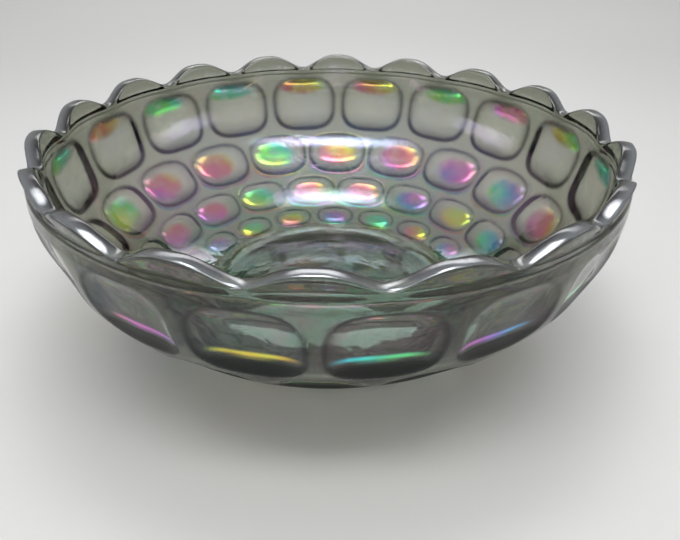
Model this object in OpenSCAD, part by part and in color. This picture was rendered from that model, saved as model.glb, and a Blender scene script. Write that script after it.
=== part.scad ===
// Pressed glass bowl: scalloped rim, four staggered rows of hollow cells, low foot ring.
// The glass is one pressing. Each node is one band of it, and the bands meet face to face.

/* [Overall] */
// Outer radius of the rim, at the bottom of a scallop valley
rim_r = 122; // [105:1:150]
// Height of the rim's valleys above the table
rim_h = 84; // [70:1:105]
// Thickness of the wall and the floor
wall = 6; // [5:0.1:8]
// Number of scallops, and of cells in each row
scallops = 18; // [12:1:24]

/* [Wall profile] */
// Radius of the belly's curve, below the rim
belly_r = 59; // [48:1:71]
// How far the belly stands out past the rim
belly_out = 1.6; // [0.5:0.1:4]
// Depth of the belly's widest point below the rim
belly_drop = 7; // [5:0.5:12]
// Radius of the heel's curve, above the foot
heel_r = 57; // [45:1:70]
// Radius where the heel's curve meets the flat base
base_r = 50; // [40:1:58]

/* [Rim] */
// Rise of a scallop's crest above its valleys
crest_h = 6.5; // [4:0.5:9]
// Breadth of a crest beside its valley: at 1 both are as broad
crest_breadth = 1.35; // [1:0.05:1.6]
// Thickness of the rim's top face
rim_t = 5.9; // [4.5:0.1:7.5]
// How far the rim leans out from its foot to a crest
rim_flare = 2; // [0:0.1:4]
// Height of the plain collar under the scallops, which holds the bead
collar_h = 5; // [4:0.5:8]
// Radius of the bead's round section
bead_r = 2; // [1.5:0.1:2.4]
// How far the bead stands out past the rim
bead_out = 2; // [1.6:0.1:2.4]

/* [Cells] */
// Depth of the cells in the upper row
cell_depth = 2.4; // [1.2:0.1:3]
// Radius of a cell's dished bottom
dish_r = 200; // [150:5:400]
// How far out a cell's round corners start, as a part of its half diagonal
corner_cut = 0.84; // [0.8:0.01:0.95]
// Width of the ridge between one row of cells and the next
row_gap = 3; // [2:0.1:6]
// Plain strip between the collar and the upper row
plain_top = 1.2; // [0.5:0.1:4]
// Plain strip of the heel, from the bottom row to the flat base
plain_heel = 14.5; // [10:0.5:18]

/* [Foot] */
// Outer radius of the foot ring
foot_r = 54.5; // [48:0.5:60]
// Width of the foot ring
foot_w = 7.5; // [5:0.5:10]
// Height of the foot ring below the base
foot_h = 3.8; // [3:0.1:6]
// Depth of the shallow round recess under the base
recess_depth = 0.6; // [0.3:0.1:1.5]
// Radius of that recess
recess_r = 32; // [20:1:38]

/* [Hidden] */
$fn = 96;

pitch = 360 / scallops;
wall_step = 3;                 // longest straight step in the section of the curved wall
dish_sides = 320;              // sides of the large sphere that dishes a cell's bottom
clear = 1;                     // how far a cut runs past the face that it goes through
over = 8;                      // how far a cutting tool stands out past the glass
cut_gap = 0.2;                 // how far a scallop's cut stops short of the next one
rim_foot_z = rim_h - 0.7;      // where the scalloped rim starts, just below its valleys
collar_z = rim_foot_z - collar_h;

// The outer profile is a belly arc, a straight flank tangent to both arcs, and a heel arc.
belly_c = [rim_r + belly_out - belly_r, rim_h - belly_drop];
heel_c = [base_r, foot_h + heel_r];
span = norm(belly_c - heel_c);
flank_slope = atan2(belly_c[1] - heel_c[1], belly_c[0] - heel_c[0]) - asin((belly_r - heel_r) / span);
belly_top = -asin((collar_z - belly_c[1]) / belly_r);     // normal's angle below level, at the collar
belly_end = 90 - flank_slope;
belly_len = belly_r * (belly_end - belly_top) * PI / 180;
flank_len = sqrt(span * span - pow(belly_r - heel_r, 2));
heel_len = heel_r * flank_slope * PI / 180;
wall_len = belly_len + flank_len + heel_len;

// The four rows share the wall between the plain strips. Each row has its share of the height,
// the part of the pitch that its cells fill, and its part of the upper row's depth.
row_share = [31.5, 25.3, 18.8, 14];
row_fill = [0.88, 0.93, 0.94, 0.84];
row_depth = [1, 0.85, 0.7, 0.5];
rows = len(row_share);
share_len = (wall_len - plain_top - plain_heel - (rows - 1) * row_gap) / total(row_share, rows);
cuts = [0, for (i = [0 : rows - 1]) row_top(i) + row_share[i] * share_len + row_gap / 2];

function total(list, n) = n == 0 ? 0 : list[n - 1] + total(list, n - 1);
function row_top(i) = plain_top + total(row_share, i) * share_len + i * row_gap;

// Angle of the outward normal below level, and the point [r, z], at a distance down the wall.
function tilt(s) = s < belly_len ? belly_top + s / belly_r * 180 / PI
    : s < belly_len + flank_len ? belly_end
    : belly_end + (s - belly_len - flank_len) / heel_r * 180 / PI;
function on_arc(c, r, a) = [c[0] + r * cos(a), c[1] - r * sin(a)];
function wall_at(s, in = 0) = s < belly_len ? on_arc(belly_c, belly_r - in, tilt(s))
    : s < belly_len + flank_len
        ? on_arc(belly_c, belly_r - in, belly_end) - (s - belly_len) * [cos(flank_slope), sin(flank_slope)]
    : on_arc(heel_c, heel_r - in, tilt(s));

// Outline [r, z] of the wall's section between two distances down it, and back along its inside.
function stations(from, to) =
    let (n = ceil(abs(to - from) / wall_step)) [for (i = [0 : n]) from + (to - from) * i / n];
function outer_line(from, to) = [for (s = stations(from, to)) wall_at(s)];
function inner_line(from, to) = [for (s = stations(to, from)) wall_at(s, wall)];

// The tool that presses one cell: a block with its corners rounded off and a dished end.
module cell_tool(row) {
    high = row_share[row] * share_len;
    s = row_top(row) + high / 2;
    p = wall_at(s);
    wide = row_fill[row] * 2 * PI * p[0] / scallops;
    depth = row_depth[row] * cell_depth;
    translate([p[0], 0, p[1]]) rotate([0, 90 + tilt(s), 0]) intersection() {
        translate([-high / 2, -wide / 2, -depth - clear]) cube([high, wide, depth + clear + over]);
        translate([0, 0, -depth - 2 * clear])
            cylinder(r = corner_cut * norm([high, wide]) / 2, h = depth + over + 4 * clear);
        translate([0, 0, dish_r - depth]) rotate([90, 0, 0]) sphere(dish_r, $fn = dish_sides);
    }
}

// Section of the wall beside one row of cells.
module band_section(row) {
    polygon(concat(outer_line(cuts[row], cuts[row + 1]), inner_line(cuts[row], cuts[row + 1])));
}

module cell_band(row) {
    shift = row % 2 == 0 ? 0.5 : 0;      // rows are staggered by half a pitch
    difference() {
        rotate_extrude() band_section(row);
        for (i = [0 : scallops - 1]) rotate(-90 + (i + shift) * pitch) cell_tool(row);
    }
}

// Height of the scallops' edge as a part of a crest's rise, from 0 at a crest to 1 in a valley.
function wave(t) = (1 + cos(180 * pow(t, crest_breadth))) / 2;

// Outline of what is cut away between two crests. It stops just short of the next cut.
module scallop_cut() {
    half = rim_r * sin(pitch / 2);
    reach = half * (1 - rim_t / rim_r) - cut_gap;
    points = 10;
    polygon(concat(
        [for (i = [-points : points]) let (x = reach * i / points)
            [x, rim_h + crest_h * wave(1 - abs(x) / half)]],
        [[reach, rim_h + crest_h + clear], [-reach, rim_h + crest_h + clear]]));
}

// Rim ring, leaning out a little, with its top cut into scallops.
module scalloped_rim() {
    top = rim_h + crest_h;
    depth = rim_t + rim_flare + over;
    color("lightgray") difference() {
        rotate_extrude() polygon([
            [rim_r, rim_foot_z], [rim_r + rim_flare, top], [rim_r + rim_flare - rim_t, top],
            [rim_r - rim_t, rim_foot_z]]);
        for (i = [0 : scallops - 1]) rotate(-90 + (i + 0.5) * pitch)
            translate([rim_r - rim_t - over / 2, 0, 0])
                rotate([90, 0, 90]) linear_extrude(depth) scallop_cut();
    }
}

// Plain collar under the scallops, with a half-round bead around it.
module rim_bead_collar() {
    color("gainsboro") union() {
        rotate_extrude() polygon([
            [rim_r, rim_foot_z], wall_at(0), wall_at(0, wall), [rim_r - rim_t, rim_foot_z]]);
        rotate_extrude() translate([rim_r + bead_out - bead_r, (rim_foot_z + collar_z) / 2])
            circle(bead_r, $fn = 48);
    }
}

module upper_cell_band() { color("lightsteelblue") cell_band(0); }
module middle_cell_band() { color("thistle") cell_band(1); }
module lower_cell_band() { color("palegreen") cell_band(2); }
module bottom_cell_band() { color("khaki") cell_band(3); }

// Section of the plain end of the heel and the flat floor, from the lowest row to the axis.
module base_section() {
    polygon(concat(outer_line(cuts[rows], wall_len), [[0, foot_h], [0, foot_h + wall]],
                   inner_line(cuts[rows], wall_len)));
}

// Heel and floor, with a shallow recess underneath.
module base_floor() {
    color("silver") rotate_extrude() difference() {
        base_section();
        translate([-clear, foot_h - clear]) square([recess_r + clear, recess_depth + clear]);
    }
}

// Low ring that the bowl stands on. It is cut to the heel's curve and to the wall above it, so
// they meet face to face.
module foot_ring() {
    color("gray") rotate_extrude() difference() {
        translate([foot_r - foot_w, 0]) square([foot_w, foot_h + wall / 2]);
        base_section();
        band_section(rows - 1);
    }
}

scalloped_rim();
rim_bead_collar();
upper_cell_band();
middle_cell_band();
lower_cell_band();
bottom_cell_band();
base_floor();
foot_ring();
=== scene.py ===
import math

import bpy
import numpy as np
from mathutils import Matrix, Vector


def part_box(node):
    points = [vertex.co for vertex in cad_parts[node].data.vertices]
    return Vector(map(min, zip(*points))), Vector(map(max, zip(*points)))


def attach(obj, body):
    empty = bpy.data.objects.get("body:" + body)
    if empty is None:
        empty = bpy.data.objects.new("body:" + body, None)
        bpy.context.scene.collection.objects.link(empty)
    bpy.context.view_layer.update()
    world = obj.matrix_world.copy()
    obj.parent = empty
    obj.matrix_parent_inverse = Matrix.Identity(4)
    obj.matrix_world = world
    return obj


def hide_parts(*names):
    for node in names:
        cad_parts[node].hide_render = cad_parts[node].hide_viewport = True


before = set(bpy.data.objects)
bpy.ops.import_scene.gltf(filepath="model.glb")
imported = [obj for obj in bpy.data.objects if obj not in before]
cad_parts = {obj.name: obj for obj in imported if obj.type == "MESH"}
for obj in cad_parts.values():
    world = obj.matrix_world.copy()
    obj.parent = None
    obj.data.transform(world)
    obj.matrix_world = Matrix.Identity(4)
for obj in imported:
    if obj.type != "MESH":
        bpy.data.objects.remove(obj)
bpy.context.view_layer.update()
print("frame: loaded, with", len(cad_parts), "bands of the pressing")

mm = 0.001


# A socket that sums can be written with. Each sum adds its own Math node.
class Wire:
    def __init__(self, graph, socket):
        self.graph = graph
        self.socket = socket

    def sum(self, operation, first, second):
        return self.graph.add("ShaderNodeMath", {"operation": operation}, {0: first, 1: second})

    def __add__(self, other):
        return self.sum("ADD", self, other)

    def __radd__(self, other):
        return self.sum("ADD", other, self)

    def __sub__(self, other):
        return self.sum("SUBTRACT", self, other)

    def __rsub__(self, other):
        return self.sum("SUBTRACT", other, self)

    def __mul__(self, other):
        return self.sum("MULTIPLY", self, other)

    def __rmul__(self, other):
        return self.sum("MULTIPLY", other, self)

    def fraction(self):
        return self.graph.add("ShaderNodeMath", {"operation": "FRACT"}, {0: self})

    def between(self, low, high):
        return self.graph.add(
            "ShaderNodeMapRange", {"interpolation_type": "SMOOTHSTEP"},
            {"Value": self, "From Min": low, "From Max": high})


# A material's node tree, with one method that adds any node.
class Graph:
    def __init__(self, owner):
        owner.use_nodes = True
        self.owner = owner
        self.tree = owner.node_tree
        self.tree.nodes.clear()

    def add(self, kind, settings=None, sockets=None, out=0):
        node = self.tree.nodes.new(kind)
        for name, value in (settings or {}).items():
            if name == "stops":
                self.setStops(node.color_ramp, value)
            else:
                setattr(node, name, value)
        for name, value in (sockets or {}).items():
            if isinstance(value, Wire):
                self.tree.links.new(value.socket, node.inputs[name])
            else:
                node.inputs[name].default_value = value
        if isinstance(out, (list, tuple)):
            return [Wire(self, node.outputs[i]) for i in out]
        return Wire(self, node.outputs[out]) if len(node.outputs) else None

    def setStops(self, ramp, stops):
        while len(ramp.elements) < len(stops):
            ramp.elements.new(1)
        for element, (place, colour) in zip(ramp.elements, stops):
            element.position = place
            element.color = (*colour, 1)

    def mixColour(self, share, first, second):
        return self.add("ShaderNodeMix", {"data_type": "RGBA"}, {0: share, 6: first, 7: second}, out=2)

    def mixShader(self, share, first, second):
        return self.add("ShaderNodeMixShader", None, {0: share, 1: first, 2: second})

    def finish(self, surface, volume=None):
        sockets = {"Surface": surface}
        if volume:
            sockets["Volume"] = volume
        self.add("ShaderNodeOutputMaterial", None, sockets)
        return self.owner


bowl = {                     # millimetres
    "scallops": 18,
    "wall": 5.6,             # thickness of the wall and floor
    "crestRise": 6.5,        # a scallop's crest above its valleys
    "crestBreadth": 1.35,    # at 1 a crest is as broad as a valley
    "rimThick": 5.9,
    "rimClear": 0.1,         # kept below the CAD's crests
    "rimFlare": 2.0,         # how far a crest leans out past the valleys
    "bellyRadius": 59.0,
    "bellyOut": 1.6,         # the belly's widest point past the rim
    "bellyDrop": 7.0,        # and its depth below the rim
    "heelRadius": 57.0,
    "baseRadius": 50.0,
    "beadOut": 0.9,          # the bead under the scallops, and half its height
    "beadHalf": 2.1,
    "beadDrop": 2.7,         # its middle below the rim, how far out it starts, and its lean
    "beadStart": 0.5,
    "beadLean": 0.15,
    "collarDrop": 4.4,       # the plain collar's foot below the rim, and how far out it stands
    "collarOut": 0.7,
    "wallDrop": 5.7,         # where the curved wall starts below the rim
    "wallStart": 1.0,        # plain glass at the top of the wall, and at its lower end
    "wallEnd": 6,
    "footWide": 7.5,
    "recessRadius": 32.0,
    "recessDrop": 0.2,       # the recess below the CAD's base, and the base round it
    "baseDrop": 0.6,
    # the foot ring's rounded section: out from its inner edge and down from the CAD's base,
    "footInside": ((-3, 0.6), (-1.0, 1.0), (-0.1, 2.6)),
    "footUnder": ((0.5, 0.3), (1.3, 0)),     # out from the same edge and up from the table,
    "footOutside": ((2.3, 0), (1.2, 0.4), (0.5, 1.5)),       # and in from its outer edge
    "dentSoftness": 0.08,    # roundness of a cell's edge, as a part of its depth
    "dentTrim": 0.002,       # and what takes the last of it off the plain glass
    "columns": 36,           # mesh columns to a scallop, and how far they crowd to a cell's sides
    "crowding": 0.4,
    "fineStep": 0.85,        # mesh rings along the wall, beside a cell's edge and away from it
    "coarseStep": 1.8,
    "fineReach": 7,          # how far from the edge they are coarsest
    "insideRings": 28,
}
# The rows from the rim down: where each starts and ends along the wall, the part of the pitch that
# a cell fills, the squareness of its outline, its depth, and its shift round the bowl in pitches.
# The glow is a patch of film lustre, partly the film's own colour and partly painted reflection:
# its middle down the cell, and its half height and width.
# A tone is the film's colour in each cell, from the front one round by the right.
cellRows = [
    {"from": 1.2, "to": 32.7, "fill": 0.88, "square": 3.0, "depth": 2.4, "shift": 0.5,
     "cover": 0.5, "glowDown": -0.70, "glowHigh": 0.30, "glowWide": 0.80, "halo": 0.0,
     "tones": "cyan violet green gold green gold violet yellow rose orange green green rose green "
              "blue violet pink yellow"},
    {"from": 35.7, "to": 61.0, "fill": 0.93, "square": 2.6, "depth": 2.04, "shift": 0.0,
     "cover": 0.9, "glowDown": 0.05, "glowHigh": 0.72, "glowWide": 0.75, "halo": 0.8,
     "tones": "green gold pink cyan violet rose cyan magenta pink orange green orange pink green "
              "gold blue rose yellow"},
    {"from": 64.2, "to": 83.0, "fill": 0.94, "square": 2.5, "depth": 1.68, "shift": 0.5,
     "cover": 1.0, "glowDown": 0.10, "glowHigh": 0.72, "glowWide": 0.75, "halo": 0.9,
     "tones": "yellow cyan rose gold blue cyan gold violet pink rose green pink rose green "
              "violet cyan gold pink"},
    {"from": 85.7, "to": 99.7, "fill": 0.84, "square": 2.2, "depth": 1.2, "shift": 0.0,
     "cover": 1.0, "glowDown": 0.20, "glowHigh": 0.72, "glowWide": 0.75, "halo": 0.9,
     "tones": "green pink cyan gold green orange blue orange cyan violet yellow green magenta "
              "orange cyan rose blue gold"},
]
# Colours of the film as it grows thicker. They come round again, so the scale is a ring.
filmColours = {
    "rose": (0.0, (1.0, 0.30, 0.36)), "pink": (0.08, (1.0, 0.26, 0.55)),
    "magenta": (0.17, (0.95, 0.22, 0.90)), "violet": (0.29, (0.48, 0.28, 1.0)),
    "blue": (0.41, (0.12, 0.50, 1.0)), "cyan": (0.52, (0.10, 0.95, 0.85)),
    "green": (0.65, (0.22, 1.0, 0.25)), "yellow": (0.79, (0.93, 1.0, 0.12)),
    "gold": (0.86, (1.0, 0.78, 0.10)), "orange": (0.92, (1.0, 0.52, 0.14)),
}
film = {
    "acrossTone": 0.13,      # how a cell's tone changes across it, down it, and out over the ridge
    "downTone": 0.14,
    "ridgeTone": 0.30,
    "ridgeCover": 0.5,       # film on a ridge beside a cell's
    "insideCover": 0.35,     # film on the smooth inside
    "crescent": 0.72,        # painted shade along the foot of a cell, which is whole in front
    "frontDown": 0.36,       # in front, a glow is a thin streak of painted reflection above that: its place and half height
    "frontHigh": 0.11,
    "glowAside": 0.35,       # at the bowl's sides, how far a painted glow sits towards the front of its cell
    "sideShade": 0.72,       # painted shade: how dark a cell's outline is at its top and sides, beside its foot
    "frontCover": 0.25,      # film on the front's glass, beside the rest; less film there is painted shade
    "front": (0.2, 0.7),     # cosine of the bearing where the front begins, and where it is whole
    "glowEdge": (0.6, 1.15),         # fade of a glow's edge, in its own half height and width
    "glowStop": (0.8, 1.1),          # this and the next fades go by reach, 1 on a cell's outline
    "haloStart": (1.1, 1.35),        # the pale line on the ridges round a cell, a painted highlight
    "haloStop": (1.6, 2.1),
    "outlineStart": (0.35, 0.85),    # the dark outline, painted shade
    "outlineStop": (1.0, 1.5),
    "crescentStop": (1.0, 1.4),
    "outlineFoot": (0.1, 0.8),       # from where to where down a cell its outline grows whole
    "crescentTop": 0.22,             # and its crescent, which grows slower away from the front
    "crescentWhole": 0.70,
    "crescentSlower": 0.25,
    "haloLevel": 0.35,               # a halo's strength, its lean down and to the front, and its least
    "haloLean": 0.5,
    "haloLeast": 0.1,
    "glowHidesOutline": 0.5,
    "glowHidesCrescent": 0.6,
    "shadeHidesFilm": 0.7,
    "plainTone": 0.3,                # tone where there is no film
    "insideTone": 0.3,               # tone on the inside, its change to each millimetre, and the floor's
    "insideDrift": 0.004,
    "floorTone": 0.75,
    "underCover": 0.6,               # film on the recess under the floor, its tone, swing and glow
    "underTone": 0.27,
    "underSwing": 0.18,
    "underGlow": 0.18,
}


def boxTop(node):
    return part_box(node)[1].z / mm


def boxReach(node):
    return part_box(node)[1].y / mm


def bowlSizes():
    sizes = dict(bowl)
    sizes["crestTop"] = boxTop("scalloped_rim")
    sizes["rimHeight"] = sizes["crestTop"] - sizes["crestRise"]
    sizes["rimRadius"] = boxReach("scalloped_rim") - sizes["rimFlare"]
    sizes["footRadius"] = boxReach("foot_ring")
    sizes["footHeight"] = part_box("base_floor")[0].z / mm
    return sizes


def onArc(centre, radius, angle):
    # the angle is the outward normal's, in degrees below level
    turn = math.radians(angle)
    return np.array([centre[0] + radius * math.cos(turn), centre[1] - radius * math.sin(turn)])


# The wall's outer profile: a belly arc, a straight flank tangent to both arcs, and a heel arc.
class Profile:
    def __init__(self, sizes, top):
        self.belly = (sizes["rimRadius"] + sizes["bellyOut"] - sizes["bellyRadius"],
                      sizes["rimHeight"] - sizes["bellyDrop"])
        self.heel = (sizes["baseRadius"], sizes["footHeight"] + sizes["heelRadius"])
        self.bellyRadius = sizes["bellyRadius"]
        self.heelRadius = sizes["heelRadius"]
        across = self.belly[0] - self.heel[0]
        rise = self.belly[1] - self.heel[1]
        span = math.hypot(across, rise)
        less = self.bellyRadius - self.heelRadius
        self.slope = math.degrees(math.atan2(rise, across) - math.asin(less / span))
        self.start = -math.degrees(math.asin((top - self.belly[1]) / self.bellyRadius))
        self.bellyLength = self.bellyRadius * math.radians(90 - self.slope - self.start)
        self.flankLength = math.sqrt(span * span - less * less)
        self.length = self.bellyLength + self.flankLength + self.heelRadius * math.radians(self.slope)

    def tilt(self, along):
        if along < self.bellyLength:
            return self.start + math.degrees(along / self.bellyRadius)
        past = max(0.0, along - self.bellyLength - self.flankLength)
        return 90 - self.slope + math.degrees(past / self.heelRadius)

    def point(self, along, inward=0.0):
        angle = self.tilt(along)
        if along < self.bellyLength:
            return onArc(self.belly, self.bellyRadius - inward, angle)
        if along > self.bellyLength + self.flankLength:
            return onArc(self.heel, self.heelRadius - inward, angle)
        turn = math.radians(self.slope)
        back = (along - self.bellyLength) * np.array([math.cos(turn), math.sin(turn)])
        return onArc(self.belly, self.bellyRadius - inward, angle) - back


def rowOffsets(row, along, turns):
    # across and down the nearest cell of a row, each from -1 to 1 between its edges
    across = ((turns - row["shift"] + 0.5) % 1 - 0.5) * 2 / row["fill"]
    down = (2 * along - row["from"] - row["to"]) / (row["to"] - row["from"])
    return across, down


def cellReach(row, along, turns):
    # 1 on a cell's outline, and less inside it
    across, down = rowOffsets(row, along, turns)
    return (np.abs(across) ** row["square"] + abs(down) ** row["square"]) ** (4 / row["square"])


def dentDepth(along, turns):
    # a cell has steep sides, round corners and a nearly flat bottom
    softness = bowl["dentSoftness"]
    depth = np.zeros_like(turns)
    for row in cellRows:
        reach = cellReach(row, along, turns)
        flat = 1 - reach
        rounded = 0.5 * (flat + np.sqrt(flat ** 2 + softness ** 2))
        depth += row["depth"] * np.maximum(0, rounded - bowl["dentTrim"] * reach)
    return depth


def easeStep(value, low, high):
    share = np.clip((value - low) / (high - low), 0, 1)
    return share * share * (3 - 2 * share)


def filmAt(along, turns):
    # how much film there is and its tone, its painted shade and its painted glow, from the nearest cell
    row = min(cellRows, key=lambda r: abs(rowOffsets(r, along, 0)[1]))
    across, down = rowOffsets(row, along, turns)
    names = row["tones"].split()
    cell = np.floor(turns - row["shift"] + 0.5).astype(int) % len(names)
    tone = np.array([filmColours[name][0] for name in names])[cell]
    reach = cellReach(row, along, turns)
    outside = np.clip(reach - 1, 0, 1)
    tone = tone + film["acrossTone"] * across + film["downTone"] * down + film["ridgeTone"] * outside
    bearing = np.radians((cell + row["shift"]) * 360 / len(names))      # from the front, by the right
    front = easeStep(np.cos(bearing), *film["front"])
    cover = row["cover"] * (1 - (1 - film["ridgeCover"]) * outside)
    # painted shade: cells towards the front are given less film, so their glass looks darker there
    cover = cover * (1 - (1 - film["frontCover"]) * front)
    # painted reflection: in front the glow shrinks to a thin streak, and at the sides it leans towards the
    # front
    glowDown = row["glowDown"] * (1 - front) + film["frontDown"] * front
    glowHigh = row["glowHigh"] * (1 - front) + film["frontHigh"] * front
    aside = film["glowAside"] * np.sin(bearing)
    apart = np.hypot((across + aside) / row["glowWide"], (down - glowDown) / glowHigh)
    glow = (1 - easeStep(apart, *film["glowEdge"])) * (1 - easeStep(reach, *film["glowStop"]))
    # painted highlight: a pale line on the ridges round each cell, left off the front
    halo = row["halo"] * (1 - front) * easeStep(reach, *film["haloStart"])
    halo = halo * (1 - easeStep(reach, *film["haloStop"]))
    lean = film["haloLevel"] + film["haloLean"] * down - film["haloLean"] * across * np.sin(bearing)
    halo = halo * np.clip(lean, film["haloLeast"], 1)
    # painted shade: a dark outline round each cell, darkest along its foot
    low = film["sideShade"] + (1 - film["sideShade"]) * easeStep(down, *film["outlineFoot"])
    shade = low * easeStep(reach, *film["outlineStart"]) * (1 - easeStep(reach, *film["outlineStop"]))
    # painted shade: a dark crescent along each cell's foot, whole in front
    crescent = film["crescent"] + (1 - film["crescent"]) * front
    whole = film["crescentWhole"] + film["crescentSlower"] * (1 - front)
    crescent = crescent * easeStep(down, film["crescentTop"], whole)
    crescent = crescent * (1 - easeStep(reach, *film["crescentStop"]))
    shade = shade * (1 - film["glowHidesOutline"] * glow)
    shade = np.maximum(shade, crescent * (1 - film["glowHidesCrescent"] * glow))
    return cover * (1 - film["shadeHidesFilm"] * shade), tone, shade, np.maximum(glow, halo)


def columnTurns(sizes):
    # columns stand closer together at the sides of the cells, which are a half pitch apart
    each = np.arange(sizes["columns"]) / sizes["columns"]
    each = each - sizes["crowding"] * np.sin(4 * np.pi * each) / (4 * np.pi)
    return np.concatenate([each + i for i in range(sizes["scallops"])])


def wallStations(sizes, first, last):
    edges = [row[end] for row in cellRows for end in ("from", "to")]
    stations = []
    along = first
    while along < last:
        stations.append(along)
        near = min(abs(along - edge) for edge in edges)
        share = min(near / sizes["fineReach"], 1)
        along += sizes["fineStep"] + (sizes["coarseStep"] - sizes["fineStep"]) * share
    return stations


def bowlRings(sizes, turns):
    # rings run from the underside's middle, up the outside and down the inside to the floor's middle
    foot = sizes["footHeight"]
    outer = sizes["footRadius"]
    inner = outer - sizes["footWide"]
    recess = sizes["recessRadius"]
    profile = Profile(sizes, sizes["rimHeight"] - sizes["wallDrop"])
    wall = sizes["wall"]
    flat = np.ones_like(turns)
    rings = []

    # one ring of points, with how much film it has and of which tone, its painted shade, glow and
    # highlight
    def ring(radius, height, cover=0.0, tone=film["plainTone"], shade=0.0, glow=0.0, paintedHighlight=0.0):
        rings.append([value * flat for value in (radius, height, cover, tone, shade, glow, paintedHighlight)])

    # plain rings part of the way from one radius and height to another
    def ringsBetween(first, second, shares):
        for share in shares:
            ring(*[first[i] * (1 - share) + second[i] * share for i in (0, 1)])

    # shallow recess under the floor, with film on it
    under = film["underTone"] + film["underSwing"] * np.sin(2 * np.pi * turns / sizes["scallops"])
    for radius in (recess * 0.1, recess * 0.35, recess * 0.6, recess * 0.8, recess - 2):
        ring(radius, foot - sizes["recessDrop"], film["underCover"], under, 0, film["underGlow"])
    ring(recess + 1, foot - sizes["baseDrop"])
    for past, drop in sizes["footInside"]:                  # foot ring, with rounded edges
        ring(inner + past, foot - drop)
    for past, height in sizes["footUnder"]:
        ring(inner + past, height)
    for back, height in sizes["footOutside"]:
        ring(outer - back, height)
    ring(outer, foot - 0.5)
    heelEnd = profile.length - sizes["wallEnd"]
    ring(*(profile.point(heelEnd + 0.7) + (0, -0.05)))      # just below the lowest ring of the wall
    for along in reversed(wallStations(sizes, sizes["wallStart"], heelEnd)):       # wall with its cells
        turn = math.radians(profile.tilt(along))
        depth = dentDepth(along, turns)
        radius, height = profile.point(along)
        ring(radius - depth * math.cos(turn), height + depth * math.sin(turn), *filmAt(along, turns))
    rim = sizes["rimRadius"]
    ring(rim + sizes["collarOut"], sizes["rimHeight"] - sizes["collarDrop"])
    for up in (-0.75, -0.5, -0.25, 0, 0.25, 0.5, 0.75):     # bead round the collar
        start = rim + sizes["beadStart"] - sizes["beadLean"] * up
        ring(start + sizes["beadOut"] * math.cos(up * math.pi / 2) ** 2,
             sizes["rimHeight"] - sizes["beadDrop"] + sizes["beadHalf"] * up)
    ring(rim + 0.3, sizes["rimHeight"] - 0.7)               # just above the bead
    swing = np.abs((turns + 0.5) % 1 - 0.5) * 2             # 0 at a crest, 1 in a valley
    crest = 0.5 * (1 + np.cos(np.pi * swing ** sizes["crestBreadth"]))
    top = sizes["rimHeight"] + sizes["crestRise"] * crest
    lip = rim + sizes["rimFlare"] * crest
    faceFoot = (rim + 0.2, sizes["rimHeight"] - 0.6)
    ringsBetween(faceFoot, (lip, top - 0.8), (0.3, 0.6, 0.85))      # outer face of the scallops
    thick = sizes["rimThick"]
    # painted highlight round the top edge's outside, and painted shade where it turns down inside:
    # how far in from the lip and below the top, then highlight and shade
    for back, drop, paintedHighlight, shade in (
            (0.15, 0.45, 0.5, 0), (0.55, 0.1, 1, 0), (1.2, 0, 1, 0), (thick / 2, -0.1, 0.5, 0),
            (thick - 1.3, 0, 0, 0.5), (thick - 0.6, 0.15, 0, 0.7), (thick - 0.15, 0.6, 0, 0.6),
            (thick + 0.1, 1.6, 0, 0)):
        ring(lip - back, top - drop - sizes["rimClear"], paintedHighlight=paintedHighlight, shade=shade)
    lipInside = (lip - thick - 0.1, top - 1.7)
    ringsBetween(lipInside, profile.point(sizes["wallStart"], wall), (0.35, 0.7))
    # smooth inside, down to the floor
    for along in np.linspace(sizes["wallStart"], profile.length, sizes["insideRings"]):
        tone = film["insideTone"] + film["insideDrift"] * along
        ring(*profile.point(float(along), wall), film["insideCover"], tone)
    for share in (0.76, 0.5, 0.24):
        ring(sizes["baseRadius"] * share, foot + wall, film["insideCover"], film["floorTone"])
    return rings


def bowlMesh(sizes):
    turns = columnTurns(sizes)
    rings = bowlRings(sizes, turns)
    angle = np.radians(-90 + turns * 360 / sizes["scallops"])      # a crest stands in front, at -Y
    radius, height, cover, tone, shade, glow, paintedHighlight = np.array(rings).transpose(1, 0, 2)
    points = np.stack([radius * np.cos(angle), radius * np.sin(angle), height], axis=2).reshape(-1, 3)
    middles = [[0, 0, rings[0][1][0]], [0, 0, rings[-1][1][0]]]
    points = np.concatenate([points, middles]) * mm
    count = len(turns)
    faces = []
    for i in range(len(rings) - 1):
        for j in range(count):
            k = (j + 1) % count
            faces.append((i * count + j, i * count + k, (i + 1) * count + k, (i + 1) * count + j))
    last = len(rings) - 1
    for j in range(count):
        k = (j + 1) % count
        faces.append((len(rings) * count, k, j))
        faces.append((len(rings) * count + 1, last * count + j, last * count + k))
    mesh = bpy.data.meshes.new("bowlGlass")
    mesh.from_pydata(points.tolist(), [], faces)
    layers = {
        "filmCover": cover, "filmTone": tone, "edgeShade": shade, "filmGlow": glow, "rimPolish": paintedHighlight}
    for name, values in layers.items():
        layer = mesh.attributes.new(name, "FLOAT", "POINT")
        layer.data.foreach_set("value", np.append(values.ravel(), [0, 0]).astype(np.float32))
    mesh.update()
    mesh.shade_smooth()
    triangles = sum(len(face) - 2 for face in faces)
    print("pressing:", len(rings), "rings of", count, "points,", triangles, "triangles")
    return mesh


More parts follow.
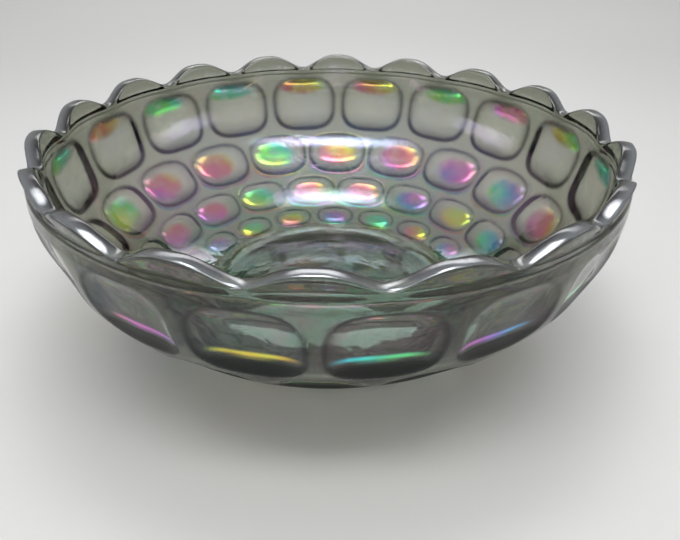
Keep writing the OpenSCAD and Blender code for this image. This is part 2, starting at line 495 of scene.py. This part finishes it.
glass = {
    "tint": (0.70, 0.71, 0.64, 1),          # at each wall that light goes through
    "paintedShadeTint": (0.004, 0.007, 0.004, 1),   # painted shade, where a cell's steep side turns the light away
    "smoke": (0.46, 0.48, 0.40, 1),         # and in the thickness of the glass
    "smokeDensity": 240.0,
    "dark": (0.006, 0.009, 0.006, 1),       # painted shade: an opaque dark layer, as the cells' feet have
    "darkest": 0.72,                        # and how much of it they take
    "darkFrom": 0.5,                        # the shade that it starts at
    "darkRoughness": 0.35,
    "darkGloss": 0.12,
    "ripple": 0.22,                         # waviness left in the pressing, its depth in metres, and scale
    "rippleDepth": 0.0008,
    "rippleScale": 70.0,
    "rippleTwist": 1.2,
    "refraction": 1.52,
    "roughness": 0.02,
    "films": (240, 300, 350),               # nanometres, thinnest first
    "filmRefraction": 1.9,
    "broadScale": 45.0,                     # broad and fine patches in the film, and how they shift tones
    "fineScale": 160.0,
    "broadTone": 0.5,
    "fineTone": 0.12,
    "toneShift": 0.69,
    "lustre": 0.12,                         # how much of the glass the fired metal film covers
    "glowLustre": 0.92,                     # and how much more in each cell's glow, a painted reflection
    "lustrePatches": (0.25, 0.6),           # where in the noise a patch starts and is whole
    "lustreLeast": 0.4,                     # and how much is left between patches
    "glowPatches": (0.2, 0.7),
    "glowLeast": 0.6,
    "lustreRoughness": 0.13,
    "paintedLustreLight": 0.16,                        # painted light: how brightly the film's lustre glows, so it keeps its colour in shade
    "paintedHighlight": 0.13,                         # painted highlight on the rim's top edge, silvery
    "paintedHighlightColour": (0.86, 0.92, 1.0, 1),
    "paintedHighlightWhole": 0.3,                     # the painted highlight at which the colour is all its own
}


def principled(graph, sockets):
    return graph.add("ShaderNodeBsdfPrincipled", None, sockets)


def noise(graph, place, scale, detail, twist=0.0):
    return graph.add("ShaderNodeTexNoise", None,
                     {"Vector": place, "Scale": scale, "Detail": detail, "Distortion": twist})


# Rises from the least to 1, as the value goes from one limit to the other.
def patchy(value, limits, least):
    return value.between(*limits) * (1 - least) + least


def clearGlass(graph, tint, ripple, thickness):
    return principled(graph, {
        "Normal": ripple,
        "Base Color": tint, "Roughness": glass["roughness"], "IOR": glass["refraction"],
        "Transmission Weight": 1.0, "Thin Film Thickness": thickness,
        "Thin Film IOR": glass["filmRefraction"]})


def bowlMaterial():
    graph = Graph(bpy.data.materials.new("iridescentGlass"))
    place = graph.add("ShaderNodeTexCoord", None, None, out=3)      # object coordinates
    cover, tone, shade, glow, paintedHighlight = [
        graph.add("ShaderNodeAttribute", {"attribute_name": name}, None, out=2)
        for name in ("filmCover", "filmTone", "edgeShade", "filmGlow", "rimPolish")]
    broad = noise(graph, place, glass["broadScale"], 2.0)
    fine = noise(graph, place, glass["fineScale"], 1.0)
    ring = (tone + broad * glass["broadTone"] + fine * glass["fineTone"] + glass["toneShift"]).fraction()
    # painted shade: the glass tint turns to the dark shade tint where the edge shade is painted
    tint = graph.mixColour(shade, glass["tint"], glass["paintedShadeTint"])
    wave = noise(graph, place, glass["rippleScale"], 2.0, glass["rippleTwist"])
    ripple = graph.add("ShaderNodeBump", None, {
        "Height": wave, "Strength": glass["ripple"], "Distance": glass["rippleDepth"]})
    filmed = None
    for i, thickness in enumerate(glass["films"]):
        layer = clearGlass(graph, tint, ripple, thickness)
        if filmed is None:
            filmed = layer
        else:
            share = (ring * len(glass["films"])).between(i - 0.5, i + 0.5)
            filmed = graph.mixShader(share, filmed, layer)
    bare = clearGlass(graph, tint, ripple, 0)
    stops = sorted(filmColours.values()) + [(1.0, filmColours["rose"][1])]
    colour = graph.add("ShaderNodeValToRGB", {"stops": stops}, {"Fac": ring})
    # painted highlight: the rim's top edge takes a silvery bluish colour
    colour = graph.mixColour(paintedHighlight.between(0, glass["paintedHighlightWhole"]), colour, glass["paintedHighlightColour"])
    # the lustre also emits its own colour, painted light that keeps the film bright in shade
    lustre = principled(graph, {
        "Base Color": colour, "Metallic": 1.0, "Roughness": glass["lustreRoughness"],
        "Emission Color": colour, "Emission Strength": glass["paintedLustreLight"]})
    share = cover * cover * glass["lustre"] * patchy(broad, glass["lustrePatches"], glass["lustreLeast"])
    # painted reflection: more lustre in each glow and in the pale lines on the ridges
    share = share + glow * glass["glowLustre"] * patchy(fine, glass["glowPatches"], glass["glowLeast"])
    # painted highlight: lustre along the rim's top edge
    share = share + paintedHighlight * glass["paintedHighlight"]
    smoke = graph.add("ShaderNodeVolumeAbsorption", None,
                      {"Color": glass["smoke"], "Density": glass["smokeDensity"]})
    dark = principled(graph, {
        "Base Color": glass["dark"], "Roughness": glass["darkRoughness"],
        "Specular IOR Level": glass["darkGloss"]})
    clear = graph.mixShader(cover, bare, filmed)
    # painted shade: an opaque dark layer over the darkest of the painted shade
    clear = graph.mixShader(shade.between(glass["darkFrom"], 1.0) * glass["darkest"], clear, dark)
    return graph.finish(graph.mixShader(share, clear, lustre), smoke)


sizes = bowlSizes()
bowlGlass = bpy.data.objects.new("bowlGlass", bowlMesh(sizes))
bpy.context.scene.collection.objects.link(bowlGlass)
bowlGlass.data.materials.append(bowlMaterial())
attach(bowlGlass, "root")
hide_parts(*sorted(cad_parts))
print("glass: tinted, with its fired film")


studio = {
    "floorWide": 8.0,                # metres
    "floorColour": (0.43, 0.43, 0.427),
    "floorDrop": 0.0003,             # just clear of the foot
    "mottle": 0.97,                  # the floor's darker patches, and the noise that they come from
    "mottleScale": 3.0,
    "mottleLimits": (0.3, 0.7),
    "floorRoughness": 0.42,          # the least, and how much rougher its patches are
    "floorRougher": 0.06,
    "skyTop": 1.25,                  # brightness overhead and low down, and the limits of its fade
    "skyLow": 0.45,
    "skyLimits": (-0.1, 0.9),
    "bounces": 14,                   # light meets many faces of glass on its way
}
softboxes = {
    "leftPanel": {
        "place": (-0.8, -0.1, 0.28), "aim": (0, 0, 0.05),
        "size": (0.7, 0.3), "glow": 2.4, "soft": 0.4},
    "rightPanel": {
        "place": (0.8, -0.1, 0.28), "aim": (0, 0, 0.05),
        "size": (0.7, 0.3), "glow": 2.4, "soft": 0.4},
    "backPanel": {
        "place": (0, 1.3, 0.95), "aim": (0, 0, 0.08),
        "size": (1.8, 0.7), "glow": 5.0, "soft": 0.4},
    "highStrip": {
        "place": (0, -0.235, 0.62), "aim": (0, -0.235, 0),
        "size": (0.90, 0.22), "glow": 17, "soft": 0.5},
    "nearStrip": {
        "place": (0, 0.05, 0.62), "aim": (0, 0.05, 0),
        "size": (0.44, 0.30), "glow": 17, "soft": 0.5},
}


# A lamp panel whose light fades towards its edges, as a diffuser's does.
def addSoftbox(name, box):
    lamp = bpy.data.lights.new(name, "AREA")
    lamp.shape = "RECTANGLE"
    lamp.size, lamp.size_y = box["size"]
    lamp.energy = box["glow"] * math.pi * box["size"][0] * box["size"][1]
    graph = Graph(lamp)
    across = graph.add("ShaderNodeNewGeometry", None, None, out=5)      # across the panel, 0 to 1 each way
    fade = 1.0
    for side in graph.add("ShaderNodeSeparateXYZ", None, {0: across}, out=(0, 1)):
        fade = fade * side.between(0, box["soft"]) * (1 - side).between(0, box["soft"])
    glow = graph.add("ShaderNodeEmission", None, {"Strength": fade})
    graph.add("ShaderNodeOutputLight", None, {"Surface": glow})
    holder = bpy.data.objects.new(name, lamp)
    holder.location = box["place"]
    away = Vector(box["aim"]) - Vector(box["place"])
    holder.rotation_euler = away.to_track_quat("-Z", "Y").to_euler()
    holder.visible_camera = False
    bpy.context.scene.collection.objects.link(holder)


def floorMaterial():
    graph = Graph(bpy.data.materials.new("studioFloor"))
    place = graph.add("ShaderNodeTexCoord", None, None, out=3)
    cloud = noise(graph, place, studio["mottleScale"], 3.0)
    pale = studio["floorColour"]
    darker = [c * studio["mottle"] for c in pale]
    colour = graph.mixColour(cloud.between(*studio["mottleLimits"]), (*darker, 1), (*pale, 1))
    roughness = studio["floorRoughness"] + cloud * studio["floorRougher"]
    return graph.finish(principled(graph, {"Base Color": colour, "Roughness": roughness}))


def addFloor():
    half = studio["floorWide"] / 2
    mesh = bpy.data.meshes.new("floor")
    corners = [(-half, -half, 0), (half, -half, 0), (half, half, 0), (-half, half, 0)]
    mesh.from_pydata(corners, [], [(0, 1, 2, 3)])
    mesh.materials.append(floorMaterial())
    floor = bpy.data.objects.new("floor", mesh)
    floor.location.z = -studio["floorDrop"]
    bpy.context.scene.collection.objects.link(floor)


def addSky():
    # a plain backdrop that is lighter overhead
    graph = Graph(bpy.data.worlds.new("studioSky"))
    where = graph.add("ShaderNodeTexCoord")
    height = graph.add("ShaderNodeSeparateXYZ", None, {0: where}, out=2)
    glow = height.between(*studio["skyLimits"]) * (studio["skyTop"] - studio["skyLow"]) + studio["skyLow"]
    sky = graph.add("ShaderNodeBackground", None, {"Strength": glow})
    graph.add("ShaderNodeOutputWorld", None, {"Surface": sky})
    bpy.context.scene.world = graph.owner


camera = {
    "away": 2.174,           # rim radii from the bowl's axis
    "above": 0.787,          # rim radii above the rim
    "sensor": 36,            # millimetres, and the lens
    "lens": 33.6,
    "pitch": 31.75,          # degrees, and those below
    "yaw": 1.02,
    "roll": 0.74,
    "swing": 2.1,            # the whole rig, round the bowl's axis
}


def addCamera(sizes):
    radius = sizes["rimRadius"] * mm
    pitch = math.radians(camera["pitch"])
    yaw = math.radians(camera["yaw"])
    roll = math.radians(camera["roll"])
    ahead = Vector((math.sin(yaw) * math.cos(pitch), math.cos(yaw) * math.cos(pitch), -math.sin(pitch)))
    right = Vector((math.cos(yaw), -math.sin(yaw), 0))
    up = right.cross(ahead)
    rolled = math.cos(roll) * right + math.sin(roll) * up
    upright = -math.sin(roll) * right + math.cos(roll) * up
    swing = Matrix.Rotation(math.radians(camera["swing"]), 3, "Z")
    data = bpy.data.cameras.new("camera")
    data.sensor_width = camera["sensor"]
    data.lens = camera["lens"]
    holder = bpy.data.objects.new("camera", data)
    height = camera["above"] * radius + sizes["rimHeight"] * mm
    holder.location = swing @ Vector((0, -camera["away"] * radius, height))
    holder.rotation_euler = (swing @ Matrix((rolled, upright, -ahead)).transposed()).to_euler()
    bpy.context.scene.collection.objects.link(holder)
    bpy.context.scene.camera = holder


for name, box in softboxes.items():
    addSoftbox(name, box)
addFloor()
addSky()
addCamera(sizes)
scene = bpy.context.scene
scene.view_settings.view_transform = "Standard"
scene.cycles.max_bounces = studio["bounces"]
scene.cycles.transmission_bounces = studio["bounces"]
print("studio: lit, camera in place")
